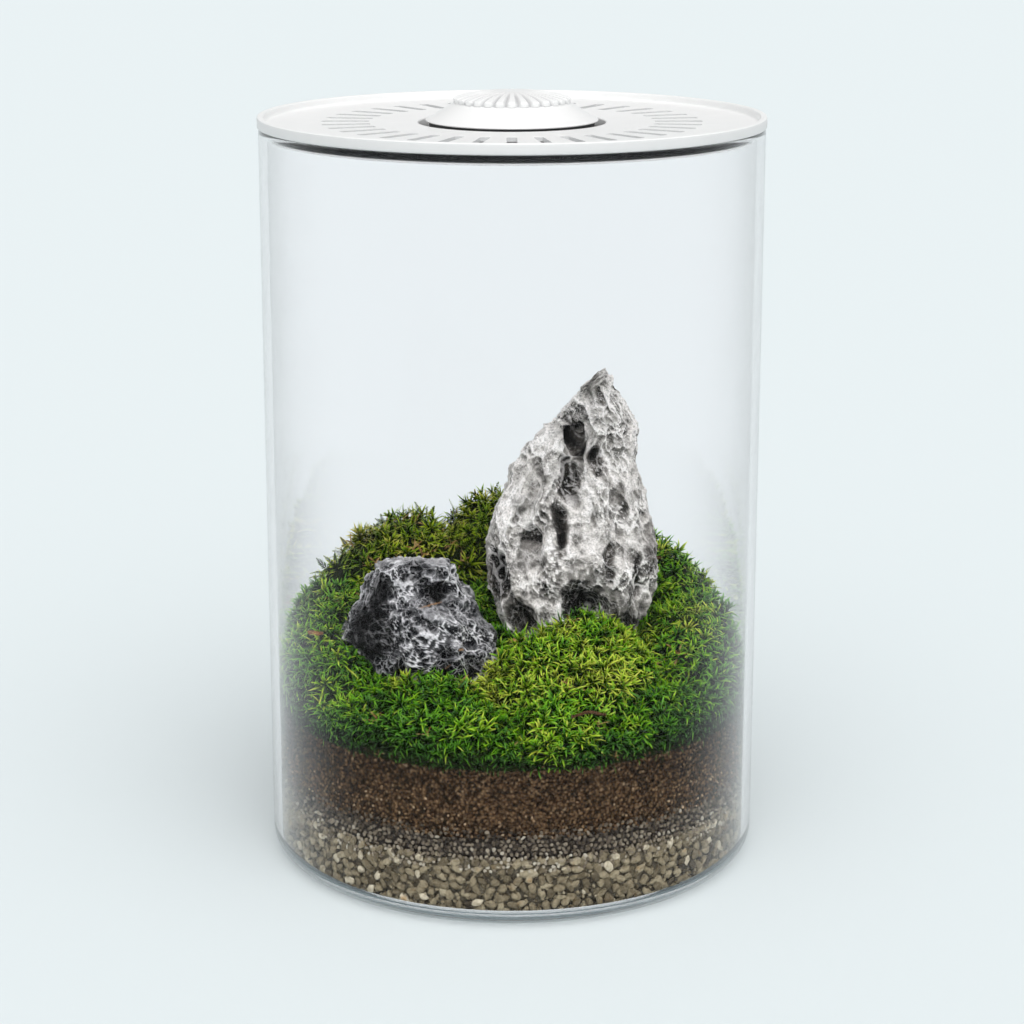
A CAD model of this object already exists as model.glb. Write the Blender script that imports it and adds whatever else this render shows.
"""The looks of a cylinder terrarium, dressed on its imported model.

Metres, +Z up, the front towards -Y. Each section is one piece or group of like pieces: what
lies in the jar, from its floor up, then the jar, and then the lid with what it carries.
"""

import random
from itertools import product
from math import atan2, cos, hypot, pi, radians, sin, tau

import bmesh
import bpy
from mathutils import Matrix, Vector, noise


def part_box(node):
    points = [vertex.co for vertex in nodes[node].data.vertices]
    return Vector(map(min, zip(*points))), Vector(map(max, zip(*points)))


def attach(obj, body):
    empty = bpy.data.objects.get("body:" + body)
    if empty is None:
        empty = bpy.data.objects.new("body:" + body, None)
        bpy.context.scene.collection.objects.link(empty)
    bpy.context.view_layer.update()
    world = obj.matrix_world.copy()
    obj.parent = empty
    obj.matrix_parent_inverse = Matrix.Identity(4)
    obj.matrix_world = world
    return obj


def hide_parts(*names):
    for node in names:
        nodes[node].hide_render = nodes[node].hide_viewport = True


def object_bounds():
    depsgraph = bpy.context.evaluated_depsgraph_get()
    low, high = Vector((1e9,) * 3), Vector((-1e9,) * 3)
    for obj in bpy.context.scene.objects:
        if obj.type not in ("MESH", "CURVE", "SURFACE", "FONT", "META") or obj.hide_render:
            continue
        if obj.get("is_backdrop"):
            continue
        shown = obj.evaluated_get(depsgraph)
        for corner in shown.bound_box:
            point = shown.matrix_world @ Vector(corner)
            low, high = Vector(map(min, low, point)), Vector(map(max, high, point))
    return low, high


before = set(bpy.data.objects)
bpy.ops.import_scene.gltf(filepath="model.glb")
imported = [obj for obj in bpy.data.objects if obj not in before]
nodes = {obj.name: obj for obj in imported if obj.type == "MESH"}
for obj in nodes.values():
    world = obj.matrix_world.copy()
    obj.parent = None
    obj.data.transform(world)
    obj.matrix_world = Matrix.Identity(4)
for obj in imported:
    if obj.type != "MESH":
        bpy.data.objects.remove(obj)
cad_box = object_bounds()
MM = 0.001
noise.seed_set(11)  # the same stones and moss at every run


# Gravel bed: light beige stone chips, 3 to 5 mm long, with smaller ones between them, poured
# loose on the jar's floor. They lie against the glass all round, where they show, and a
# plain core of packed gravel fills the middle.
def new_look(name, roughness, gloss=0.08):
    """A Principled material. Returns the material, its node tree and the shader."""
    look = bpy.data.materials.new(name)
    look.use_nodes = True
    shader = look.node_tree.nodes["Principled BSDF"]
    shader.inputs["Roughness"].default_value = roughness
    shader.inputs["Specular IOR Level"].default_value = gloss
    return look, look.node_tree, shader


def put(tree, value, socket):
    """Links an output to an input, or sets the input to a plain value."""
    if isinstance(value, bpy.types.NodeSocket):
        tree.links.new(value, socket)
    else:
        socket.default_value = value


def add_node(tree, kind, **settings):
    """A new node. A setting named after one of its inputs sets or links that input."""
    node = tree.nodes.new(kind)
    for key, value in settings.items():
        socket = node.inputs.get(key.replace("_", " ").title()) or node.inputs.get(key)
        if socket is None:
            setattr(node, key, value)
        else:
            put(tree, value, socket)
    return node


def own_place(tree):
    """Where a point is, in the piece's own coordinates."""
    return add_node(tree, "ShaderNodeTexCoord").outputs["Object"]


def grain(tree, scale, detail=4.0, rough=0.6):
    """Fine noise, scale in spots per metre."""
    made = add_node(
        tree, "ShaderNodeTexNoise", Vector=own_place(tree), Scale=scale, Detail=detail, Roughness=rough
    )
    return made.outputs["Fac"]


def cells(tree, scale, output="Distance"):
    """A pattern of cells, scale in cells per metre."""
    return add_node(tree, "ShaderNodeTexVoronoi", Vector=own_place(tree), Scale=scale).outputs[output]


def attribute(tree, name):
    """A value that is kept on the piece's points."""
    return add_node(tree, "ShaderNodeAttribute", attribute_name=name).outputs["Fac"]


def ramp(tree, source, *stops):
    """Colours by a value, as (value, (r, g, b)) or (value, grey) stops."""
    made = add_node(tree, "ShaderNodeValToRGB")
    row = made.color_ramp.elements
    while len(row) < len(stops):
        row.new(1)
    for spot, (value, colour) in zip(row, stops):
        spot.position = value
        spot.color = (*colour, 1) if isinstance(colour, tuple) else (colour, colour, colour, 1)
    tree.links.new(source, made.inputs["Fac"])
    return made.outputs["Color"]


def blend_colours(tree, how, amount, first, second):
    """Two colours mixed. The amount and the colours may be values or sockets."""
    made = add_node(tree, "ShaderNodeMix", data_type="RGBA", blend_type=how)
    sockets = {s.identifier: s for s in made.inputs}
    put(tree, amount, sockets["Factor_Float"])
    for name, colour in (("A_Color", first), ("B_Color", second)):
        put(tree, (*colour, 1) if isinstance(colour, tuple) else colour, sockets[name])
    return made.outputs["Result"]


def darkened(tree, colour, marks, amount=1.0):
    """A colour multiplied by another one."""
    return blend_colours(tree, "MULTIPLY", amount, colour, marks)


def paint(tree, shader, colour):
    """Gives a shader its colour from a socket."""
    tree.links.new(colour, shader.inputs["Base Color"])


def bumped(tree, shader, height, depth, strength=1.0):
    """Bumps up to depth metres high from a 0 to 1 height."""
    made = add_node(tree, "ShaderNodeBump", Strength=strength, Distance=depth, Height=height)
    tree.links.new(made.outputs["Normal"], shader.inputs["Normal"])


def as_mesh(bm, name):
    """A bmesh turned into a mesh."""
    mesh = bpy.data.meshes.new(name)
    bm.to_mesh(mesh)
    bm.free()
    return mesh


def in_scene(name, data):
    """A mesh or a camera as an object in the scene."""
    obj = bpy.data.objects.new(name, data)
    bpy.context.scene.collection.objects.link(obj)
    return obj


def show(name, bm, looks, slot, *replaced, body="jar", smooth=True, crisp=0):
    """Makes a finished piece of a bmesh, riding on its body in place of the CAD nodes.

    Edges sharper than crisp, in degrees, stay sharp on a smooth piece."""
    mesh = as_mesh(bm, name)
    for look in looks:
        mesh.materials.append(look)
    if smooth:
        mesh.shade_smooth()
    if crisp:
        mesh.set_sharp_from_angle(angle=radians(crisp))
    obj = in_scene(name, mesh)
    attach(obj, body)
    if replaced:
        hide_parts(*replaced)
    return obj


def from_node(name):
    """A bmesh of a CAD node with its loose corners merged."""
    bm = bmesh.new()
    bm.from_mesh(nodes[name].data)
    bmesh.ops.remove_doubles(bm, verts=bm.verts, dist=0.005 * MM)
    return bm


def packed_core(node, share):
    """A bed's CAD solid, drawn in to a share of its width so that grains fit round it."""
    bm = from_node(node)
    bm.verts.layers.float.new("tint")
    for vert in bm.verts:
        vert.co.x *= share
        vert.co.y *= share
    for face in bm.faces:
        face.material_index = 1
    return bm


def lump_shape(draw, finer, half_widths):
    """A small lump of stone with flat breaks all round, and with room for its tint."""
    breaks, break_at = 9, 0.7  # how many, and how far from the middle of a ball of radius 1
    bm = bmesh.new()
    bmesh.ops.create_icosphere(bm, subdivisions=finer, radius=1)
    shift = Vector((draw.uniform(0, 9), draw.uniform(0, 9), draw.uniform(0, 9)))
    for vert in bm.verts:
        vert.co *= 1 + 0.3 * noise.noise(vert.co * 1.1 + shift)
    for _ in range(breaks):
        facet = Vector((draw.gauss(0, 1), draw.gauss(0, 1), draw.gauss(0, 1))).normalized()
        reach = break_at * draw.uniform(0.85, 1.15)
        for vert in bm.verts:
            vert.co -= facet * max(0, vert.co.dot(facet) - reach)
    bmesh.ops.transform(bm, matrix=Matrix.Diagonal((*half_widths, 1)), verts=bm.verts)
    bm.verts.layers.float.new("tint")
    return as_mesh(bm, "lump_shape")


def stones_of(draw, count, finer, *sizes):
    """Different lumps, each of their three half widths drawn from a (least, most) pair in mm."""
    return [
        lump_shape(draw, finer, [draw.uniform(*pair) * MM for pair in sizes]) for _ in range(count)
    ]


def clamp(value):
    """A value kept from 0 to 1."""
    return min(1, max(0, value))


def strew(bm, shape, place, tint):
    """Adds a copy of a small mesh to a bmesh, its own tints moved up by tint, from 0 to 1."""
    copy = shape.copy()
    copy.transform(place)
    layer = copy.attributes["tint"].data
    tints = [0.0] * len(layer)
    layer.foreach_get("value", tints)
    layer.foreach_set("value", [clamp(own + tint) for own in tints])
    bm.from_mesh(copy)
    bpy.data.meshes.remove(copy)


def corner_setback(height):
    """How far in from its wall the jar's rounded corner lies at a height."""
    above = min(inner_corner, height - jar_floor)
    return inner_corner - (inner_corner**2 - (inner_corner - above) ** 2) ** 0.5


def inside_glass(bm):
    """Presses what would reach through the glass back against its wall, corner and floor."""
    for vert in bm.verts:
        vert.co.z = max(vert.co.z, jar_floor + 0.15 * MM)
        limit = glass_inside - corner_setback(vert.co.z) - 0.05 * MM
        reach = hypot(vert.co.x, vert.co.y)
        if reach > limit:
            vert.co.x *= limit / reach
            vert.co.y *= limit / reach


def wall_spots(draw, low, high, spacing, inset):
    """Places along the glass between two heights, in staggered rows, as (angle, height, radius)."""
    rows = round((high - low) / (spacing * 0.8))
    round_wall = round(tau * glass_inside / spacing)
    for row in range(rows + 1):
        for step in range(round_wall):
            angle = tau * (step + 0.5 * (row % 2) + draw.uniform(-0.3, 0.3)) / round_wall
            height = max(low, low + (high - low) * row / rows + draw.uniform(-0.25, 0.25) * spacing)
            yield angle, height, glass_inside - corner_setback(height) - inset * draw.uniform(0.8, 1.4)


def turn_at_wall(draw, angle, height, radius, tilt):
    """A matrix that lays a lump flat to the glass, turned and tilted at random."""
    place = Matrix.Translation((radius * cos(angle), radius * sin(angle), height))
    face = Matrix.Rotation(angle, 4, "Z") @ Matrix.Rotation(pi / 2, 4, "Y")
    spin = Matrix.Rotation(draw.uniform(0, tau), 4, "Z")
    lean = Matrix.Rotation(draw.gauss(0, tilt), 4, "X")
    return place @ face @ spin @ lean


draw = random.Random(11)
jar_floor, inner_corner = 3 * MM, 3.8 * MM
glass_inside = 72.4 * MM  # just clear of the glass
facet_angle = 32  # degrees, sharper edges than this stay sharp on a grain
gravel_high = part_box("gravel_bed")[1].z
chip_look, tree, shader = new_look("beige_gravel_chips", 0.75, 0.15)
stone = ramp(
    tree, attribute(tree, "tint"), (0.0, (0.05, 0.04, 0.027)), (0.25, (0.13, 0.108, 0.068)),
    (0.6, (0.26, 0.222, 0.145)), (0.85, (0.38, 0.335, 0.23)), (1.0, (0.6, 0.55, 0.42)),
)
speckle = ramp(tree, grain(tree, 900, 6), (0.36, (0.5, 0.47, 0.42)), (0.6, 1))
rusty = ramp(tree, grain(tree, 160, 2), (0.62, 1), (0.72, (1, 0.72, 0.45)))
paint(tree, shader, darkened(tree, darkened(tree, stone, speckle, 0.8), rusty, 0.8))
bumped(tree, shader, grain(tree, 1300, 6), 0.35 * MM, 0.8)

core_look, tree, shader = new_look("packed_gravel", 0.85)
packed = ramp(
    tree, cells(tree, 500), (0.1, (0.24, 0.21, 0.15)), (0.5, (0.16, 0.14, 0.1)), (0.9, (0.08, 0.07, 0.05))
)
paint(tree, shader, packed)
bumped(tree, shader, cells(tree, 500), 0.8 * MM)

chips = stones_of(draw, 14, 2, (1.4, 2.5), (1.0, 1.7), (0.6, 0.95))
small_chips = stones_of(draw, 8, 1, (0.6, 1.1), (0.5, 0.9), (0.4, 0.6))
gravel = packed_core("gravel_bed", 0.985)
for vert in gravel.verts:
    if vert.co.z < jar_floor + 5 * MM:  # it fills the jar's round corner
        vert.co.z = jar_floor
for spot in wall_spots(
    draw, jar_floor + 0.9 * MM, gravel_high - 1.2 * MM, spacing=3.2 * MM, inset=0.6 * MM
):
    place = turn_at_wall(draw, *spot, tilt=0.35)
    strew(gravel, draw.choice(chips), place, draw.gauss(0.53, 0.23))
for spot in wall_spots(
    draw, jar_floor + 0.4 * MM, gravel_high + 0.3 * MM, spacing=2.0 * MM, inset=0.7 * MM
):
    place = turn_at_wall(draw, *spot, tilt=0.8)
    strew(gravel, draw.choice(small_chips), place, draw.gauss(0.4, 0.24))
inside_glass(gravel)
show("gravel_chips", gravel, [chip_look, core_look], "beige_gravel", "gravel_bed", crisp=facet_angle)


# Grit layer: finer grey-brown grit, 1.5 to 2 mm, poured over the gravel so that the soil
# can't wash into it. Its grains mix with the gravel below and the soil above.
grit_low, grit_high = (corner.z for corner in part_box("grit_layer"))
grit_look, tree, shader = new_look("grey_grit_grains", 0.85)
stone = ramp(
    tree, attribute(tree, "tint"), (0.0, (0.025, 0.02, 0.016)), (0.35, (0.12, 0.097, 0.07)),
    (0.7, (0.25, 0.215, 0.16)), (1.0, (0.45, 0.42, 0.34)),
)
paint(tree, shader, stone)
bumped(tree, shader, grain(tree, 2500, 3), 0.15 * MM, 0.5)
grit_core, tree, shader = new_look("packed_grit", 0.9)
packed = ramp(tree, cells(tree, 800), (0.1, (0.12, 0.1, 0.085)), (0.6, (0.03, 0.025, 0.02)))
paint(tree, shader, packed)
grains = stones_of(draw, 8, 1, (0.7, 1.1), (0.5, 0.8), (0.4, 0.6))
grit = packed_core("grit_layer", 0.985)
for angle, height, radius in wall_spots(
    draw, grit_low - 2.0 * MM, grit_high + 1.5 * MM, spacing=1.6 * MM, inset=0.5 * MM
):
    share = (height - grit_low) / (grit_high - grit_low)
    if draw.random() > min(share + 0.8, 1.9 - share):  # thinned out into the beds above and below
        continue
    place = turn_at_wall(draw, angle, height, radius + 0.2 * MM, tilt=0.6)
    strew(grit, draw.choice(grains), place, draw.gauss(0.68 - 0.38 * share, 0.2))
inside_glass(grit)
show("grit_grains", grit, [grit_look, grit_core], "grey_grit", "grit_layer", crisp=facet_angle)


# Soil bed: reddish-brown planting soil of baked crumbs, about 1 mm, banked up at the back.
# It is damp and darker just under the moss, and the crumbs press against the glass.
soil_low, crumbs_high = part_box("soil_bed")[0].z, 49 * MM
crumb_look, tree, shader = new_look("soil_crumbs", 0.9)
earth = ramp(
    tree, attribute(tree, "tint"), (0.0, (0.007, 0.005, 0.003)), (0.28, (0.03, 0.019, 0.01)),
    (0.6, (0.14, 0.08, 0.038)), (0.86, (0.25, 0.16, 0.085)), (1.0, (0.42, 0.31, 0.19)),
)
paint(tree, shader, earth)
soil_look, tree, shader = new_look("brown_soil_mass", 0.95)
crumbs = ramp(
    tree, cells(tree, 1000, "Color"), (0.1, (0.03, 0.019, 0.01)), (0.5, (0.11, 0.063, 0.03)),
    (0.8, (0.19, 0.12, 0.062)), (0.97, (0.32, 0.23, 0.14)),
)
shade = ramp(tree, cells(tree, 1000), (0.15, 1), (0.7, (0.15, 0.13, 0.12)))
paint(tree, shader, darkened(tree, crumbs, shade, 0.95))
bumped(tree, shader, cells(tree, 1000), 0.6 * MM, 0.8)
soil_grains = stones_of(draw, 8, 1, (0.4, 0.7), (0.32, 0.52), (0.3, 0.42))
soil = packed_core("soil_bed", 0.996)
for angle, height, radius in wall_spots(
    draw, soil_low + 1.0 * MM, crumbs_high, spacing=1.6 * MM, inset=0.3 * MM
):
    place = turn_at_wall(draw, angle, height, radius, tilt=0.6)
    damp = 0.5 * clamp((height - 35 * MM) / (10 * MM))
    band = 0.12 * noise.noise(Vector((cos(angle) * 3, sin(angle) * 3, height / (5 * MM))))
    strew(soil, draw.choice(soil_grains), place, draw.gauss(0.52, 0.22) + band - damp)
inside_glass(soil)
show("soil_crumb_bed", soil, [crumb_look, soil_look], "brown_soil", "soil_bed", crisp=facet_angle)


# Tall stone: a pale grey limestone wedge, set upright in the soil. Water has dissolved its
# face into scooped hollows with sharp pale crests between them, and dark clefts run down it.
def pit_depth(point, cell):
    """How deep in a scooped pit a point lies, from 0 on the crest between pits to 1."""
    near, next_near = noise.voronoi(point / cell)[0][:2]
    return max(0.0, 1 - near / max(next_near, 1e-6)) ** 0.6


def hollow_at(point, facing, hollows):
    """Depth in mm and stain from 0 to 1 at a point, from a stone's list of hollows."""
    depth = stain = 0
    front = clamp(facing * 2)
    for x, z, half_width, half_height, lean, deep, dark in hollows:
        aside, up = point.x / MM - x, point.z / MM - z
        across = (aside * cos(radians(lean)) + up * sin(radians(lean))) / half_width
        along = (up * cos(radians(lean)) - aside * sin(radians(lean))) / half_height
        within = max(0.0, 1 - across**2 - along**2)
        depth += deep * within**0.7
        stain = max(stain, dark * min(1, 1.6 * within))
    return depth * front, stain * front


def flutes(point, peak, spread):
    """Rain channels that fan down from a stone's peak, from 0 in a channel to about 1 on a rib."""
    fan = spread * MM / (0.35 * spread * MM + max(0.0, peak.z - point.z))
    place = Vector(((point.x - peak.x) * fan / (5 * MM), point.y / (9 * MM), point.z / (26 * MM)))
    return min(1.2, noise.ridged_multi_fractal(place, 0.8, 2.2, 4, 0.9, 1.8) * 0.55)


def relax(bm, verts, times):
    """Smooths some points a number of times."""
    for _ in range(times):
        bmesh.ops.smooth_vert(
            bm, verts=verts, factor=0.5, use_axis_x=True, use_axis_y=True, use_axis_z=True
        )
    bm.normal_update()


def finer_solid(node, cuts):
    """A bmesh of a CAD node with each edge cut a number of times."""
    bm = from_node(node)
    bmesh.ops.subdivide_edges(bm, edges=bm.edges[:], cuts=cuts, use_grid_fill=True)
    return bm


def weathered(name, node, look, slot, upright, peak, ribs, pit_sizes, hollows, rusty):
    """A stone with the CAD solid's form, its hollows, channels and pits cut in, large to small.

    It keeps how deep each point lies, and where the stone is stained, crested and rusty."""
    bm = finer_solid(node, 9)
    relax(bm, bm.verts, 6)
    relief, stained, crested, rusted = (
        bm.verts.layers.float.new(layer) for layer in ("relief", "stain", "crest", "rust")
    )
    big_pit, middle_pit, small_pit = pit_sizes
    moves = []
    for vert in bm.verts:
        warp = noise.noise_vector(vert.co / (9 * MM)) * 3.4 * MM
        warp += noise.noise_vector(vert.co / (3.4 * MM)) * 1.1 * MM
        point = Vector((vert.co.x, vert.co.y, vert.co.z * upright)) + warp
        worn = clamp(0.5 + 1.6 * noise.noise(vert.co / (10 * MM)))
        carved, stain = hollow_at(vert.co + warp * 0.4, -vert.normal.y, hollows)
        patch = noise.noise(vert.co / (14 * MM) + Vector((3, 7, 1)))
        channel = 1 - flutes(vert.co + warp * 0.6, peak, 40)
        coarse = clamp(0.5 + 3 * noise.noise(vert.co / (12 * MM) + Vector((9, 2, 4))))
        big = pit_depth(point, big_pit * MM)
        middle = pit_depth(point, middle_pit * MM) * (1 - coarse)
        middle += pit_depth(point, 1.6 * middle_pit * MM) * coarse
        small = pit_depth(vert.co + warp, small_pit * MM)
        depth = 1.1 * big + 1.3 * ribs * channel + (0.8 + 0.6 * coarse) * middle
        depth += (0.25 + 0.4 * worn) * small
        rim = max((1 - middle / 0.38) * (0.45 + 0.55 * worn), (1 - small / 0.34) * worn * 0.9)
        vert[relief] = 0.2 * big + 0.22 * ribs * channel + 0.42 * middle + 0.22 * small + 0.12 * carved
        vert[stained] = clamp(stain + max(0, 1.2 * patch - 0.4) * (1 - stain))
        vert[crested] = max(0.0, rim)
        vert[rusted] = hollow_at(vert.co + warp * 0.12, 1, rusty)[1]
        moves.append(vert.normal * (1.3 - depth - carved) * MM)
    for vert, move in zip(bm.verts, moves):
        vert.co += move
    bm.normal_update()
    for vert in bm.verts:  # washed pale on what faces up and higher up, dark on what faces down
        washed = clamp((vert.co.z - 80 * MM) / (40 * MM))
        vert[relief] = clamp(vert[relief] + 0.19 - 0.15 * washed - 0.34 * vert.normal.z)
    return show(name, bm, [look], slot, node)


def vector_maths(tree, operation, first, second, output="Vector"):
    """One step of arithmetic on two vectors, each a value or a socket."""
    made = add_node(tree, "ShaderNodeVectorMath", operation=operation)
    put(tree, first, made.inputs[0])
    put(tree, second, made.inputs[1])
    return made.outputs[output]


def crest_lines(tree, scale, upright, swirl):
    """Distance from fine wandering crests, 0 on them, about 1 in the middle of a pit."""
    place = own_place(tree)
    wander = add_node(tree, "ShaderNodeTexNoise", Vector=place, Scale=scale * 0.45, Detail=3.0)
    offset = vector_maths(tree, "MULTIPLY", wander.outputs["Color"], (swirl / scale,) * 3)
    moved = vector_maths(tree, "ADD", place, offset)
    long = add_node(tree, "ShaderNodeMapping", Scale=(1, 1, upright), Vector=moved).outputs["Vector"]
    made = add_node(
        tree, "ShaderNodeTexVoronoi", feature="DISTANCE_TO_EDGE", Scale=scale, Vector=long
    )
    return ramp(tree, made.outputs["Distance"], (0.0, 0), (0.4, 1))


def limestone(name, roughness, body, crest, stain, bright):
    """Weathered stone: its colour by depth and stain, with fine pale crests. bright is their
    strength on clean and on stained stone."""
    look, tree, shader = new_look(name, roughness)
    shine = ramp(tree, attribute(tree, "relief"), (0.2, 0.4), (0.55, 0.05))
    tree.links.new(shine, shader.inputs["Specular IOR Level"])
    colour = ramp(tree, attribute(tree, "relief"), *body)
    cloud = ramp(tree, grain(tree, 150, 6), (0.36, 0.6), (0.52, 1))
    half_stain = tuple(c**0.5 for c in stain)
    dark = ramp(tree, attribute(tree, "stain"), (0.1, 1), (0.55, half_stain), (1.0, stain))
    colour = darkened(tree, darkened(tree, colour, cloud), dark)
    fading = ramp(tree, attribute(tree, "stain"), (0.2, bright[0]), (0.9, bright[1]))
    fine = crest_lines(tree, 620, 0.7, 2.2)
    here_and_there = ramp(tree, grain(tree, 170, 3), (0.45, 0), (0.6, 1))
    on_fine = darkened(tree, ramp(tree, fine, (0.02, 0.55), (0.2, 0)), here_and_there)
    on_rim = ramp(tree, attribute(tree, "crest"), (0.22, 0), (0.5, 0.85), (0.8, 1))
    for crests in (on_fine, on_rim):
        colour = blend_colours(tree, "MIX", darkened(tree, crests, fading), colour, crest)
    speck = ramp(tree, grain(tree, 1700, 5), (0.36, 0.3), (0.54, 1))
    rust = ramp(tree, attribute(tree, "rust"), (0.3, 0), (0.8, 0.8))
    colour = darkened(tree, colour, speck, 0.6)
    paint(tree, shader, blend_colours(tree, "MIX", rust, colour, (0.36, 0.2, 0.09)))
    rough = add_node(
        tree, "ShaderNodeBump", Strength=0.7, Distance=0.4 * MM, Height=grain(tree, 700, 8, 0.7)
    )
    crisp = add_node(
        tree, "ShaderNodeBump", invert=True, Strength=0.5, Distance=0.3 * MM, Height=fine,
        Normal=rough.outputs["Normal"],
    )
    tree.links.new(crisp.outputs["Normal"], shader.inputs["Normal"])
    return look


pale_body = (
    (0.16, (0.94, 0.91, 0.88)), (0.32, (0.76, 0.735, 0.705)), (0.48, (0.56, 0.54, 0.51)),
    (0.64, (0.26, 0.248, 0.232)), (0.88, (0.03, 0.028, 0.026)),
)
pale_stone = limestone(
    "pale_weathered_limestone", 0.55, pale_body, (0.97, 0.95, 0.93), (0.13, 0.12, 0.112), (0.95, 0.4)
)
# hollows: x, z, half width, half height, lean in degrees, depth in mm, stain
tall_hollows = [
    (19.6, 126, 3.2, 8, 14, 3.4, 1.0), (17.4, 114, 3.4, 10, 6, 3.2, 0.95), (15.0, 100, 2.4, 8, 8, 2.4, 0.9),
    (26.2, 119, 2.7, 5.2, 4, 2.8, 0.95),
    (6, 95, 2.8, 5.6, 0, 2.2, 0.35), (2.6, 103, 1.8, 4.5, 8, 1.4, 0.3), (15.7, 94, 1.6, 4, 0, 1.4, 0.6),
    (30.3, 89, 2.0, 7, -4, 2.4, 0.85), (20.8, 75, 6.2, 10, 10, 3.0, 1.0), (34, 68, 6, 6, 0, 1.0, 0.85),
    (-5, 84, 4.4, 10, 8, 1.8, 1.0), (9, 112, 1.8, 4.5, 8, 1.2, 0.3), (33, 108, 1.6, 6, 4, 1.2, 0.35),
    (39, 84, 1.8, 9, -4, 1.4, 0.5), (24, 104, 1.4, 6, 16, 1.2, 0.4), (30.5, 137, 1.2, 4.5, 8, 1.0, 0.5),
    (2, 72, 4, 6, 0, 0.8, 0.75), (44, 92, 3, 16, 0, 0.4, 0.45),
]
tall_stone = weathered(
    "tall_stone", "rock_tall", pale_stone, "pale_stone", upright=0.5, ribs=1.0,
    peak=Vector((29, 0, 150)) * MM, pit_sizes=(9.5, 3.6, 1.8), hollows=tall_hollows, rusty=[],
)
right_edge = 34 * MM
for vert in tall_stone.data.vertices:  # the peak spreads to the left and ends a little higher
    below_tip = (148 * MM - vert.co.z) / (8 * MM)
    spread = max(0, min(clamp((vert.co.z - 129 * MM) / (12 * MM)), below_tip))
    vert.co.x += (0.2 * (vert.co.x - right_edge) - 3.2 * MM) * spread
    vert.co.z += 1.5 * MM * clamp((vert.co.z - 126 * MM) / (18 * MM))


# Low stone: a darker, bluish grey piece of the same kind of limestone, lying lower at the
# front left, with finer pits, thin pale crests and a rust-lined ledge across its face.
dark_body = (
    (0.14, (0.4, 0.4, 0.41)), (0.27, (0.17, 0.172, 0.18)), (0.4, (0.05, 0.051, 0.055)),
    (0.6, (0.006, 0.006, 0.008)),
)
dark_stone = limestone(
    "dark_weathered_limestone", 0.34, dark_body, (0.9, 0.9, 0.92), (0.08, 0.08, 0.085), (0.85, 0.12)
)
low_hollows = [
    (-22.6, 86.4, 5.0, 3.0, 12, 3.2, 1.0), (-21.3, 63, 3.0, 2.2, 0, 2.4, 0.9),
    (-19.2, 70, 2.4, 1.7, -20, 1.8, 0.7), (-22, 78.5, 8, 4.5, 0, -1.6, 0),
    (-25.2, 77.5, 2.8, 1.8, 0, 1.6, 0.2), (-31, 90, 2.2, 2.0, 0, 1.6, 0.6),
    (-43, 75, 10, 10, -8, 1.6, 1.0), (-40, 87, 5, 6, 8, 0.8, 0.85), (-33, 62, 4, 7, 0, 1.2, 0.8),
    (-9.5, 65, 4, 4, 0, 0.8, 0.6), (-29.5, 95, 3.5, 3.5, 0, 2.0, 0.3),
]
low_rust = [
    (-24.3, 83.0, 5.0, 0.3, 16, 0, 1), (-19, 66, 2.0, 0.3, 40, 0, 0.8), (-15, 71, 1.2, 0.4, 0, 0, 0.7)
]
weathered(
    "low_stone", "rock_low", dark_stone, "dark_stone", upright=0.9, ribs=0.3,
    peak=Vector((-30, -10, 110)) * MM, pit_sizes=(8, 2.9, 1.6), hollows=low_hollows, rusty=low_rust,
)


# Cushion moss: living cushions of star-shaped shoots, each a rosette of narrow curled
# leaves about 5 mm long, bright at the tips and dark between, laid on the soil like turf.
def leaf_shape(length, width, curl, draw):
    """One narrow leaf that curls over, root at the origin, as a bmesh strip."""
    bm = bmesh.new()
    bmesh.ops.create_grid(bm, x_segments=1, y_segments=3, size=0.5)
    tip = bm.verts.layers.float.new("tip")
    tint = bm.verts.layers.float.new("tint")
    twist, own_tint = draw.uniform(-0.6, 0.6), draw.gauss(0, 0.11)
    for vert in bm.verts:
        along = vert.co.y + 0.5
        across = vert.co.x * width * (1 - along**2.2) * (0.65 + 0.8 * along)
        bend = curl * along
        reach = length * sin(bend) / curl
        lift = length * (1 - cos(bend)) / curl
        vert[tip] = along
        vert[tint] = own_tint
        vert.co = (across * cos(twist * along), reach, across * sin(twist * along) - lift)
    bmesh.ops.remove_doubles(bm, verts=bm.verts, dist=0.02 * MM)
    return bm


def join_leaf(whole, leaf, place):
    """Adds a leaf to a shoot at its place, and uses the leaf up."""
    bmesh.ops.transform(leaf, matrix=place, verts=leaf.verts)
    mesh = as_mesh(leaf, "leaf_shape")
    whole.from_mesh(mesh)
    bpy.data.meshes.remove(mesh)


def moss_points(bm):
    """Makes room for how near a point is to its leaf's tip, and for its tint."""
    bm.verts.layers.float.new("tip")
    bm.verts.layers.float.new("tint")


def rosette_shape(draw, leaves, size, spread):
    """A star of leaves round an upright shoot, as a mesh."""
    golden_turn = 2.39996  # each leaf stands this far round from the one below
    whole = bmesh.new()
    moss_points(whole)
    for i in range(leaves):
        share = (i + 0.5) / leaves
        rise = radians(84 - spread * share + draw.uniform(-10, 10))
        length = size * (0.6 + 0.5 * share) * draw.uniform(0.75, 1.25)
        leaf = leaf_shape(length, draw.uniform(0.5, 0.8) * MM, draw.uniform(0.3, 2.0), draw)
        turn = Matrix.Rotation(i * golden_turn + draw.uniform(-0.4, 0.4), 4, "Z")
        root = Matrix.Translation((0, 0, size * (0.34 - 0.32 * share)))
        join_leaf(whole, leaf, root @ (turn @ Matrix.Rotation(rise, 4, "X")))
    return as_mesh(whole, "rosette_shape")


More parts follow.
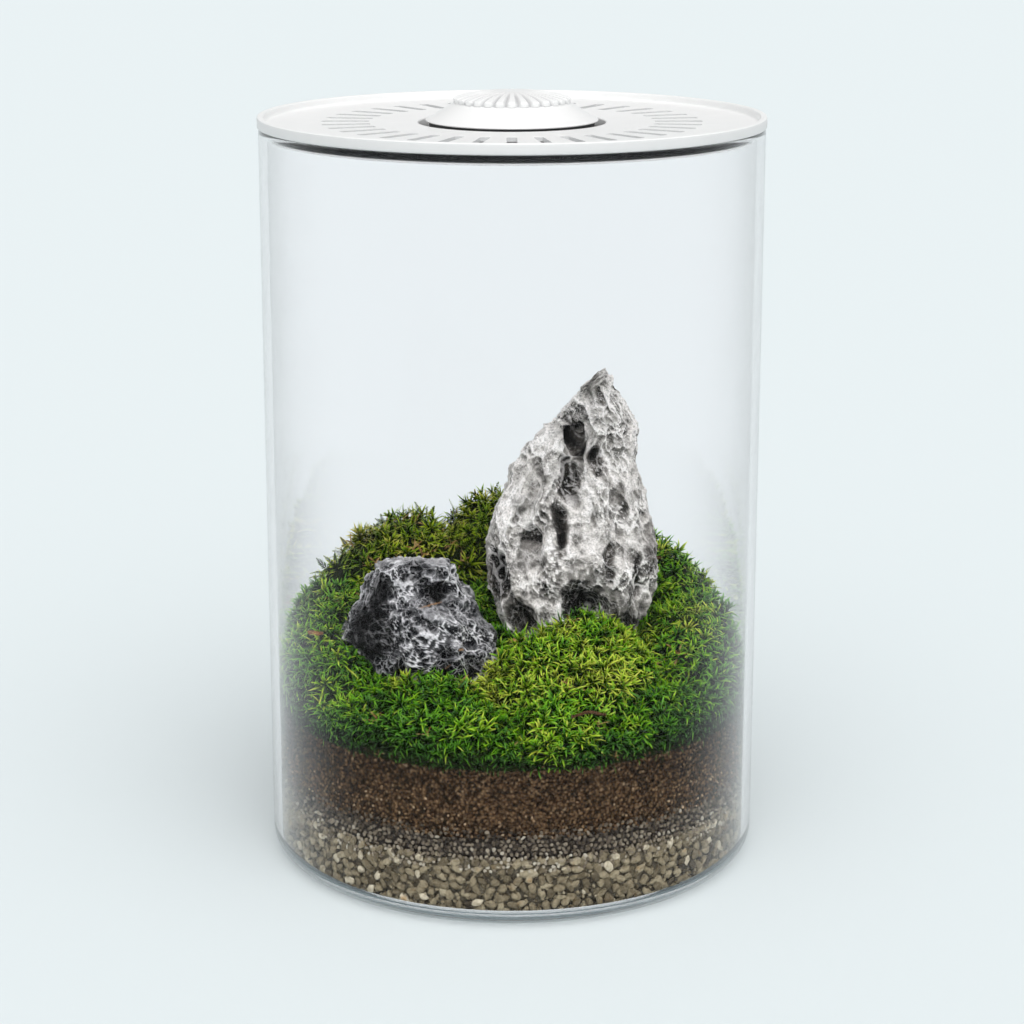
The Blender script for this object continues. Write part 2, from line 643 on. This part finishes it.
def shoot_spots(bm, draw, spacing):
    """Places for shoots on the upper skin and along the glass, no two nearer than spacing."""
    near_glass = 68 * MM
    bmesh.ops.triangulate(bm, faces=bm.faces[:])
    bm.normal_update()
    taken, spots = {}, []
    for face in bm.faces:
        middle = face.calc_center_median()
        at_glass = hypot(middle.x, middle.y) > near_glass and face.normal.z > -0.3
        if face.normal.z < 0.2 and not at_glass:
            continue
        a, b, c = (v.co for v in face.verts)
        tries = face.calc_area() / spacing**2 * 6
        for _ in range(int(tries) + (draw.random() < tries % 1)):
            u, v = draw.random(), draw.random()
            if u + v > 1:
                u, v = 1 - u, 1 - v
            point = a + (b - a) * u + (c - a) * v
            cell = tuple(int(q // spacing) for q in point)
            near = [taken.get(tuple(map(sum, zip(cell, step)))) for step in product((-1, 0, 1), repeat=3)]
            if all(other is None or (other - point).length > spacing for other in near):
                taken[cell] = point
                spots.append((point, face.normal.copy()))
    return spots


soil_line = 47.5 * MM


def grow_moss(name, node, shoots, spacing, looks, slot, colour, dry):
    """A cushion: its turf, and a shoot at each spot, kept inside the glass. Shoots lean
    together in tufts, lie close where they meet the glass, and a share of them is dry."""
    bm = from_node(node)
    relax(bm, [v for v in bm.verts if v.normal.z > -0.5], 2)  # the solid's tufts, smoothed down
    spots = shoot_spots(bm, draw, spacing)
    moss_points(bm)
    for face in bm.faces:
        face.material_index = 1
    for vert in bm.verts:
        vert.co.z -= 1.2 * MM if vert.normal.z > 0.2 else 0
    for point, normal in spots:
        flat = Vector((point.x, point.y, 0))
        at_glass = clamp((flat.length / MM - 65) / 6)
        tuft = noise.noise_vector(flat / (8 * MM)) * 0.95
        loose = Vector((draw.uniform(-0.4, 0.4), draw.uniform(-0.4, 0.4), 0.35 + 0.7 * at_glass))
        up = (normal * (1 - 0.6 * at_glass) + tuft * (1 - 0.5 * at_glass) + loose).normalized()
        turn = Vector((0, 0, 1)).rotation_difference(up).to_matrix().to_4x4()
        spin = Matrix.Rotation(draw.uniform(0, tau), 4, "Z")
        low = max(0, 1 - (point.z - soil_line) / (9 * MM)) * at_glass
        sloping = max(0, 1 - (point.z - soil_line) / (20 * MM)) * clamp(flat.length / MM / 18 - 2.8)
        scale = Matrix.Scale(draw.uniform(0.75, 1.25) * (1 - 0.4 * low), 4)
        lift = 1.5 * MM * noise.noise(flat / (6 * MM) + Vector((5, 1, 0))) - 0.9 * MM
        place = Matrix.Translation(point + normal * lift * (1 - at_glass)) @ turn @ spin @ scale
        wide, narrow = flat / (15 * MM), flat / (5 * MM) + Vector((2, 4, 0))
        patch = 0.3 * noise.noise(wide) + 0.3 * noise.noise(narrow)
        tint = colour + patch + draw.gauss(0, 0.1) - 0.35 * low - 0.25 * sloping
        chosen = draw.choice(scraps) if draw.random() < dry else draw.choice(shoots)
        strew(bm, chosen, place, tint)
    inside_glass(bm)
    show(name, bm, looks, slot, node, smooth=False)


def maths(tree, operation, *values):
    """One step of arithmetic on numbers, each a value or a socket."""
    made = add_node(tree, "ShaderNodeMath", operation=operation)
    for value, socket in zip(values, made.inputs):
        put(tree, value, socket)
    return made.outputs["Value"]


def mix_shaders(tree, amount, first, second):
    """Two shader nodes mixed, as a shader node."""
    made = add_node(tree, "ShaderNodeMixShader", Fac=amount)
    tree.links.new(first.outputs[0], made.inputs[1])
    tree.links.new(second.outputs[0], made.inputs[2])
    return made


def finish_look(tree, surface):
    """Makes a shader node the surface of the material."""
    tree.links.new(surface.outputs[0], tree.nodes["Material Output"].inputs["Surface"])


def moss_leaf_look(name, greens, sheen):
    """Leaf green by tint, a little fresher towards the tip and dark at the root."""
    look, tree, shader = new_look(name, 0.32)
    tip = attribute(tree, "tip")
    shine = ramp(tree, tip, (0.35, 0), (0.85, sheen))
    tree.links.new(shine, shader.inputs["Specular IOR Level"])
    fresher = maths(tree, "MULTIPLY_ADD", tip, 0.42, attribute(tree, "tint"))
    rooted = ramp(tree, tip, (0.0, 0.01), (0.35, 0.11), (0.65, 0.62), (0.9, 1))
    colour = darkened(tree, ramp(tree, fresher, *greens), rooted)
    paint(tree, shader, colour)
    glow = add_node(tree, "ShaderNodeBsdfTranslucent", Color=colour)
    finish_look(tree, mix_shaders(tree, 0.3, shader, glow))
    return look


turf_look, tree, shader = new_look("moss_turf", 0.95)
thatch = ramp(
    tree, grain(tree, 700, 5), (0.35, (0.003, 0.006, 0.001)), (0.6, (0.012, 0.02, 0.003)),
    (0.8, (0.035, 0.025, 0.01)),
)
paint(tree, shader, thatch)
bumped(tree, shader, grain(tree, 900, 4), 1.0 * MM)
dry_look, tree, shader = new_look("dry_moss_stems", 0.7)
straw = ramp(
    tree, grain(tree, 500, 3), (0.35, (0.1, 0.05, 0.02)), (0.5, (0.3, 0.17, 0.06)),
    (0.65, (0.55, 0.4, 0.16)),
)
paint(tree, shader, straw)
fresh_greens = (
    (0.15, (0.01, 0.06, 0.0003)), (0.4, (0.048, 0.24, 0.0006)), (0.62, (0.16, 0.52, 0.001)),
    (0.82, (0.38, 0.74, 0.003)), (1.0, (0.78, 0.9, 0.08)),
)
green_leaf = moss_leaf_look("green_moss_leaf", fresh_greens, 0.6)
star_shoots = [rosette_shape(draw, 17, 5.9 * MM, 78) for _ in range(12)]
scraps = [rosette_shape(draw, 5, 4.2 * MM, 60) for _ in range(3)]
for scrap in scraps:
    for face in scrap.polygons:
        face.material_index = 2
moss_looks = [green_leaf, turf_look, dry_look]
for place_in_jar, freshness in (
    ("front_right", 0.55), ("front_left", 0.4), ("left", 0.4), ("right", 0.4),
    ("right_front", 0.4), ("back_right", 0.4), ("middle", 0.4),
):
    grow_moss(
        "cushion_" + place_in_jar, "moss_" + place_in_jar, star_shoots, 2.55 * MM, moss_looks,
        "green_moss", colour=freshness, dry=0.015,
    )


# Feathery moss: flatter, olive and partly dry sheets at the back, of creeping fronds with
# short leaflets in two rows, among star shoots of the cushion moss.
def frond_shape(draw, length):
    """A creeping frond: a thin stem with leaflets along both sides, as a mesh."""
    whole = bmesh.new()
    moss_points(whole)
    bend = draw.uniform(0.5, 1.1)
    pairs = 11
    tilt = Matrix.Rotation(radians(20), 4, "X")
    for i in range(pairs):
        share = (i + 1) / pairs
        stem = Vector((0, length * share, length * 0.35 * sin(bend * share * 2)))
        size = length * 0.34 * (1.15 - share) * draw.uniform(0.85, 1.2)
        for side in (-1, 1):
            leaf = leaf_shape(size, 0.5 * MM, 0.6, draw)
            turn = Matrix.Rotation(side * radians(draw.uniform(42, 62)), 4, "Z")
            join_leaf(whole, leaf, Matrix.Translation(stem) @ (turn @ tilt))
    lay = Matrix.Rotation(radians(draw.uniform(0, 35)), 4, "X")
    bmesh.ops.transform(whole, matrix=lay, verts=whole.verts)
    return as_mesh(whole, "frond_shape")


olive_greens = (
    (0.15, (0.018, 0.055, 0.0006)), (0.4, (0.085, 0.23, 0.001)), (0.62, (0.27, 0.5, 0.003)),
    (0.84, (0.55, 0.72, 0.012)), (1.0, (0.8, 0.74, 0.14)),
)
olive_leaf = moss_leaf_look("olive_moss_leaf", olive_greens, 0.35)
fronds = [frond_shape(draw, draw.uniform(4.5, 6.5) * MM) for _ in range(7)]
for place_in_jar in ("back_left", "back"):
    grow_moss(
        "sheet_" + place_in_jar, "moss_" + place_in_jar, fronds + star_shoots[:4], 2.5 * MM,
        [olive_leaf, turf_look, dry_look], "olive_moss", colour=0.46, dry=0.06,
    )


# Dry bits: a twig at the back and one at the front, and two curled dead leaves, fallen on
# the moss and left there.
twig_look, tree, shader = new_look("dry_bark", 0.8)
bark = ramp(
    tree, grain(tree, 1200, 5), (0.3, (0.03, 0.015, 0.008)), (0.6, (0.1, 0.05, 0.022)),
    (0.8, (0.24, 0.15, 0.08)),
)
paint(tree, shader, bark)
bumped(tree, shader, grain(tree, 2200, 4), 0.2 * MM)
leaf_look, tree, shader = new_look("dead_leaf", 0.7)
brown = ramp(
    tree, grain(tree, 600, 4), (0.35, (0.09, 0.03, 0.01)), (0.5, (0.26, 0.11, 0.035)),
    (0.68, (0.5, 0.32, 0.13)),
)
paint(tree, shader, brown)
bumped(tree, shader, grain(tree, 1400, 4), 0.15 * MM)
for node in ("twig_back", "twig_front"):
    bm = finer_solid(node, 3)
    for vert in bm.verts:
        vert.co += vert.normal * MM * (0.3 * noise.noise(vert.co / (0.9 * MM)) - 0.12)
    show(node + "_bark", bm, [twig_look], "dry_twig", node)
for node in ("leaf_bit_middle", "leaf_bit_left"):
    bm = finer_solid(node, 3)
    for vert in bm.verts:
        vert.co.z += 0.35 * MM * noise.noise(vert.co / (1.5 * MM))
    show(node + "_blade", bm, [leaf_look], "dry_leaf", node)


# Glass jar: one clear cylinder, 150 mm across, with a 2.5 mm wall, a flat base and its
# bottom corner rounded inside and out, its lip fire-polished.
def turn_round(name, profile, steps, looks, slot, node, body="jar"):
    """A piece spun from (radius, height) points. A point on the axis closes it there."""
    bm = bmesh.new()
    verts = [bm.verts.new((r, 0, z)) for r, z in profile]
    pairs = list(zip(verts, verts[1:]))
    if profile[0][0] > 0:
        pairs.append((verts[-1], verts[0]))
    edges = [bm.edges.new(pair) for pair in pairs]
    bmesh.ops.spin(
        bm, geom=verts + edges, axis=(0, 0, 1), cent=(0, 0, 0), angle=tau, steps=steps, use_merge=True
    )
    bmesh.ops.remove_doubles(bm, verts=bm.verts, dist=0.005 * MM)
    bmesh.ops.recalc_face_normals(bm, faces=bm.faces)
    return show(name, bm, looks, slot, node, body=body)


def arc(x, z, radius, start, end, steps):
    """Points of a rounded corner, from start to end in degrees."""
    return [
        (x + radius * cos(radians(start + (end - start) * i / steps)),
         z + radius * sin(radians(start + (end - start) * i / steps)))
        for i in range(steps + 1)
    ]


jar_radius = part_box("glass_jar")[1].x
jar_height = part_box("glass_jar")[1].z
wall, outer_corner = 2.5 * MM, 6.3 * MM
inside = jar_radius - wall
glass_look = bpy.data.materials.new("clear_jar_glass")
glass_look.use_nodes = True
tree = glass_look.node_tree
tree.nodes.remove(tree.nodes["Principled BSDF"])
clear = add_node(
    tree, "ShaderNodeBsdfGlass", name="clear glass", Roughness=0.0, Color=(1.0, 0.995, 0.998, 1), IOR=1.14
)
through = add_node(
    tree, "ShaderNodeBsdfTransparent", name="light passing through", Color=(0.98, 0.985, 0.985, 1)
)
edgewise = add_node(tree, "ShaderNodeLayerWeight", Blend=0.5).outputs["Facing"]
sheen = ramp(
    tree, edgewise, (0.28, 0), (0.36, 0.015), (0.43, 0.05), (0.53, 0.135), (0.63, 0.28), (0.74, 0.43),
    (1.0, 0.6),
)
from_inside = add_node(tree, "ShaderNodeNewGeometry").outputs["Backfacing"]
sheen = blend_colours(tree, "MIX", from_inside, sheen, (0, 0, 0))
mirror = add_node(tree, "ShaderNodeBsdfGlossy", Roughness=0.02)
shining = mix_shaders(tree, sheen, clear, mirror)  # glass mirrors more where it is seen edgewise
in_shadow = add_node(tree, "ShaderNodeLightPath").outputs["Is Shadow Ray"]
finish_look(tree, mix_shaders(tree, in_shadow, shining, through))
base_look = glass_look.copy()  # the thick rounded foot bends light more than the straight wall
base_look.name = "clear_foot_glass"
base_look.node_tree.nodes["light passing through"].inputs["Color"].default_value = (0.95, 0.96, 0.96, 1)
base_look.node_tree.nodes["clear glass"].inputs["IOR"].default_value = 1.5
held = 0.5 * MM  # rings this far beyond each rounding keep the straight walls' shading straight
profile = [(0, jar_floor), (inside - inner_corner - held, jar_floor)]
profile += arc(inside - inner_corner, jar_floor + inner_corner, inner_corner, -90, 0, 10)
profile += [(inside, jar_floor + inner_corner + held), (inside, jar_height - wall / 2 - held)]
profile += arc(jar_radius - wall / 2, jar_height - wall / 2, wall / 2, 180, 0, 12)
profile += [(jar_radius, jar_height - wall / 2 - held), (jar_radius, outer_corner + held)]
profile += arc(jar_radius - outer_corner, outer_corner, outer_corner, 0, -90, 14)
profile += [(jar_radius - outer_corner - held, 0), (0, 0)]
jar = turn_round("clear_jar", profile, 192, [glass_look, base_look], "clear_glass", "glass_jar")
for face in jar.data.polygons:
    face.material_index = int(face.center.z < outer_corner * 0.8)


# Lid: one white plastic moulding that rests on the glass. A raised rim runs round a flat
# tray with a ring of narrow radial slots, and a well in the middle holds the dial.
def moulded_white(name, colour, roughness, texture):
    """Satin white moulded plastic, very slightly grained, a little shaded down its grooves."""
    look, tree, shader = new_look(name, roughness, 0.5)
    soft = ramp(tree, grain(tree, 60, 2), (0.3, tuple(c * 0.97 for c in colour)), (0.7, colour))
    shaded = ramp(tree, attribute(tree, "groove"), (0.0, (1, 1, 1)), (1.0, (0.62, 0.62, 0.63)))
    tree.links.new(blend_colours(tree, "MULTIPLY", 1.0, soft, shaded), shader.inputs["Base Color"])
    bumped(tree, shader, grain(tree, 2600, 2), texture, 0.35)
    return look


lid_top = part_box("lid_plate")[1].z
rim_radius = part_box("lid_plate")[1].x
tray, tray_thick, rim_wide = lid_top - 2.2 * MM, 1.2 * MM, 2 * MM
seat = jar_height + 0.3 * MM
skirt, skirt_wide, groove = 71.6 * MM, 2.6 * MM, 1.3 * MM
seal_low, seal_high = (corner.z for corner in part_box("seal_ring"))
skirt_foot = seal_low - 0.9 * MM
well, well_floor, hub_hole = 27.8 * MM, tray - 4 * MM, 5.1 * MM
under = tray - tray_thick
slot_inner, slot_outer, slot_wide, slot_count = 42.3 * MM, 56.5 * MM, 3 * MM, 36
lid_look = moulded_white("satin_white_lid", (0.89, 0.89, 0.885), 0.35, 0.06 * MM)
recess_look = moulded_white("shaded_lid_recess", (0.06, 0.06, 0.062), 0.6, 0.06 * MM)
side_look = moulded_white("satin_white_rim_side", (0.74, 0.735, 0.73), 0.4, 0.06 * MM)
slot_look = moulded_white("shaded_slot_walls", (0.7, 0.7, 0.7), 0.5, 0.06 * MM)
profile = [(hub_hole, well_floor)]
profile += [(well - 0.5 * MM, well_floor), (well, well_floor + 0.5 * MM)]
profile += arc(well + 0.5 * MM, tray - 0.5 * MM, 0.5 * MM, 180, 90, 4)
profile += arc(rim_radius - rim_wide - 0.7 * MM, tray + 0.7 * MM, 0.7 * MM, -90, 0, 4)
profile += arc(rim_radius - rim_wide + 0.45 * MM, lid_top - 0.45 * MM, 0.45 * MM, 180, 90, 4)
profile += arc(rim_radius - 0.55 * MM, lid_top - 0.55 * MM, 0.55 * MM, 90, 0, 5)
profile += arc(rim_radius - 0.25 * MM, seat + 0.25 * MM, 0.25 * MM, 0, -90, 3)
profile += [(skirt, seat), (skirt, seal_high + 0.3 * MM), (skirt - groove, seal_high + 0.3 * MM)]
profile += [(skirt - groove, seal_low - 0.3 * MM), (skirt, seal_low - 0.3 * MM)]
profile += arc(skirt - 0.3 * MM, skirt_foot + 0.3 * MM, 0.3 * MM, 0, -90, 3)
profile += [(skirt - skirt_wide, skirt_foot), (skirt - skirt_wide, under)]
profile += [(well + tray_thick, under), (well + tray_thick, well_floor - tray_thick)]
profile += [(hub_hole, well_floor - tray_thick)]
lid_looks = [lid_look, recess_look, side_look, slot_look]
lid = turn_round("vented_lid", profile, 180, lid_looks, "white_lid", "lid_plate")


def slot_bars(bottom, top):
    """The ring of slots as solid bars with rounded ends, to cut a moulding with."""
    bm = bmesh.new()
    middle = Matrix.Translation(((slot_inner + slot_outer) / 2, 0, (top + bottom) / 2))
    size = Matrix.Diagonal((slot_outer - slot_inner, slot_wide, top - bottom, 1))
    for i in range(slot_count):
        turn = Matrix.Rotation(tau * i / slot_count, 4, "Z")
        bmesh.ops.create_cube(bm, size=1, matrix=turn @ middle @ size)
    uprights = [e for e in bm.edges if abs(e.verts[0].co.z - e.verts[1].co.z) > 0.5 * (top - bottom)]
    bmesh.ops.bevel(
        bm, geom=uprights, offset=0.8 * MM, offset_type="OFFSET", segments=3, profile=0.5,
        affect="EDGES", material=-1,
    )
    return in_scene("slot_bars", as_mesh(bm, "slot_bars"))


def cut_slots(obj, bottom, top):
    """Cuts the slots through a piece and keeps the result as its mesh."""
    bars = slot_bars(bottom, top)
    boolean = obj.modifiers.new("slots", "BOOLEAN")
    boolean.operation = "DIFFERENCE"
    boolean.object = bars
    graph = bpy.context.evaluated_depsgraph_get()
    mesh = bpy.data.meshes.new_from_object(obj.evaluated_get(graph))
    obj.modifiers.clear()
    obj.data = mesh
    bpy.data.objects.remove(bars)


def sharp_above(obj, angle):
    """Keeps the edges sharper than angle, in degrees, crisp on a smooth piece."""
    obj.data.set_sharp_from_angle(angle=radians(angle))


cut_slots(lid, tray - 3 * MM, lid_top + 1 * MM)
sharp_above(lid, 35)
for face in lid.data.polygons:
    reach, upright = hypot(face.center.x, face.center.y), abs(face.normal.z) < 0.5
    in_well = reach < 28 * MM
    well_wall = upright and under < face.center.z < tray - 0.6 * MM
    if in_well and (well_wall or face.center.z < well_floor + 0.4 * MM):
        face.material_index = 1
    elif reach > rim_radius - 0.3 * MM and upright:
        face.material_index = 2
    elif 42 * MM < reach < 57 * MM and upright:  # the slots' walls
        face.material_index = 3


# Seal: a soft dark ring in the groove of the lid's skirt. Only its edge shows, as a thin
# dark band through the glass.
seal_look, tree, shader = new_look("dark_soft_seal", 0.5)
rubber = ramp(tree, grain(tree, 500, 3), (0.3, (0.02, 0.021, 0.022)), (0.7, (0.04, 0.041, 0.043)))
paint(tree, shader, rubber)
bumped(tree, shader, grain(tree, 1500, 3), 0.05 * MM)
seal_mid = (seal_low + seal_high) / 2
seal_in, seal_out = 70.6 * MM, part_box("seal_ring")[1].x
seal_round = 0.45 * MM
profile = [(seal_in, seal_high), (seal_out - seal_round, seal_high)]
profile += arc(seal_out - seal_round, seal_mid, seal_round, 70, -70, 6)
profile += [(seal_out - seal_round, seal_low), (seal_in, seal_low)]
seal = turn_round("soft_seal", profile, 180, [seal_look], "dark_seal", "seal_ring")
sharp_above(seal, 35)


# Dial: a white moulding like the lid. Its domed disc sits in the well with a gap all round,
# and the cap on top has shallow flutes to turn it by. Its hub carries the shutter.
dial_foot, dial_top = (corner.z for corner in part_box("vent_dial"))
dial_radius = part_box("vent_dial")[1].x
cap_radius, cap_foot, cap_edge = 17.4 * MM, dial_top - 3.4 * MM, dial_top - 2.4 * MM
flute_count, flutes_start = 30, 5 * MM
dial_look = moulded_white("satin_white_dial", (0.87, 0.87, 0.865), 0.32, 0.05 * MM)
shell = 1.6 * MM
dial_edge = tray + 0.2 * MM
dome = (3, 5, 7, 9, 11, 12.5, 14, 15.2, 16.2)  # its rings' radii in mm
profile = [(0, dial_top)]
profile += [(r * MM, dial_top - 1.7 * MM * (r / dome[-1]) ** 2.6) for r in dome]
profile += arc(cap_radius - 0.6 * MM, cap_edge - 0.1 * MM, 0.6 * MM, 75, 0, 4)
profile += [(cap_radius, cap_foot + 0.1 * MM), (cap_radius - 0.25 * MM, cap_foot - 0.1 * MM)]
profile += [(19 * MM, cap_foot - 1.1 * MM), (21 * MM, cap_foot - 2.4 * MM), (22.8 * MM, cap_foot - 3.6 * MM)]
profile += [(24.1 * MM, cap_foot - 4.4 * MM), (25.2 * MM, dial_edge + 0.8 * MM)]
profile += [(dial_radius, dial_edge + 0.35 * MM), (dial_radius - 0.1 * MM, dial_edge + 0.1 * MM)]
profile += [(dial_radius - 1.1 * MM, dial_edge + 0.1 * MM)]
profile += [(dial_radius - 1.1 * MM, well_floor + 0.3 * MM), (dial_radius - shell, well_floor + 0.3 * MM)]
profile += [(dial_radius - shell, dial_edge - shell), (cap_radius, cap_foot - 2.2 * MM)]
profile += [(7 * MM, dial_top - 2.3 * MM), (4.8 * MM, dial_top - 2.3 * MM)]
profile += [(4.8 * MM, dial_foot + 2.1 * MM), (5.6 * MM, dial_foot + 1.3 * MM)]
profile += [(4.8 * MM, dial_foot), (0, dial_foot)]
dial_looks = [dial_look, recess_look]
dial = turn_round(
    "fluted_dial", profile, 8 * flute_count, dial_looks, "white_dial", "vent_dial", body="vent"
)
grooved = dial.data.attributes.new("groove", "FLOAT", "POINT").data
for vert in dial.data.vertices:
    reach = hypot(vert.co.x, vert.co.y)
    if vert.co.z > cap_foot and reach > flutes_start:
        wave = max(0.0, cos(flute_count * atan2(vert.co.y, vert.co.x))) ** 1.5
        depth = min(1, (reach - flutes_start) / (5 * MM)) * wave
        grooved[vert.index].value = depth
        if vert.co.z > cap_edge - 0.2 * MM:
            vert.co.z -= 0.6 * MM * depth
        if reach > 15 * MM:
            vert.co.x *= 1 - 0.025 * depth
            vert.co.y *= 1 - 0.025 * depth
for face in dial.data.polygons:  # the narrow gap round the dial lies in shade
    reach = hypot(face.center.x, face.center.y)
    in_gap = face.center.z < dial_edge + 0.2 * MM and dial_radius - 1.3 * MM < reach < dial_radius
    face.material_index = int(in_gap)
sharp_above(dial, 40)


# Shutter: the thin dished disc under the tray that the dial turns. Its slots match the
# tray's, and are open in this position.
shutter_look = moulded_white("satin_white_shutter", (0.8, 0.8, 0.8), 0.45, 0.05 * MM)
shutter_low, shutter_top = (corner.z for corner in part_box("vent_shutter"))
profile = [(hub_hole, shutter_low + 1.2 * MM), (29.5 * MM, shutter_low + 1.2 * MM)]
profile += [(33.5 * MM, shutter_top), (59.6 * MM, shutter_top)]
profile += [(60 * MM, shutter_top - 0.4 * MM), (60 * MM, shutter_top - 1.2 * MM)]
profile += [(34 * MM, shutter_top - 1.2 * MM), (30 * MM, shutter_low), (hub_hole, shutter_low)]
shutter = turn_round(
    "slotted_shutter", profile, 180, [shutter_look], "white_shutter", "vent_shutter", body="vent"
)
cut_slots(shutter, shutter_top - 3 * MM, shutter_top + 1 * MM)
sharp_above(shutter, 35)


# Studio: a wide pale floor that fills the view, even light from all round, and one large
# soft light high in front.
bm = bmesh.new()
bmesh.ops.create_grid(bm, x_segments=1, y_segments=1, size=30)
ground = in_scene("studio_floor", as_mesh(bm, "studio_floor"))
ground_look, tree, shader = new_look("pale_floor", 0.9, 0)
shader.inputs["Base Color"].default_value = (0.74, 0.8, 0.815, 1)
ground.data.materials.append(ground_look)
ground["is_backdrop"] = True

world = bpy.data.worlds.new("studio_light")
bpy.context.scene.world = world
world.use_nodes = True
tree = world.node_tree
toward_light = Vector((0.08, -0.52, 0.82)).normalized()
soft_edge, brightness = 8, 3.85
outward = add_node(tree, "ShaderNodeTexCoord").outputs["Generated"]
facing = vector_maths(tree, "DOT_PRODUCT", outward, toward_light, output="Value")
softbox = maths(tree, "POWER", maths(tree, "MAXIMUM", facing, 0), soft_edge)
level = maths(tree, "MULTIPLY", softbox, brightness)
height = add_node(tree, "ShaderNodeSeparateXYZ", Vector=outward).outputs["Z"]
horizon = (0.815, 0.88, 0.9)
sky = ramp(tree, height, (0.0, horizon), (0.06, horizon), (0.3, 0.45))
light = blend_colours(tree, "ADD", 1.0, sky, level)
tree.links.new(light, tree.nodes["Background"].inputs["Color"])

camera = bpy.data.cameras.new("photo_camera")
camera.lens = 86.42
camera.sensor_width = 36
camera.shift_y = -0.08
camera.clip_start = 0.02
camera_object = in_scene("photo_camera", camera)
camera_object.location = (0, -0.7300, 0.3035)
camera_object.rotation_euler = (radians(90 - 13.348), 0, 0)
bpy.context.scene.camera = camera_object
bpy.context.scene.view_settings.view_transform = "Standard"

boxes = {"cad": cad_box, "visual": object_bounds()}
{name: [list(corner) for corner in box] for name, box in boxes.items()}
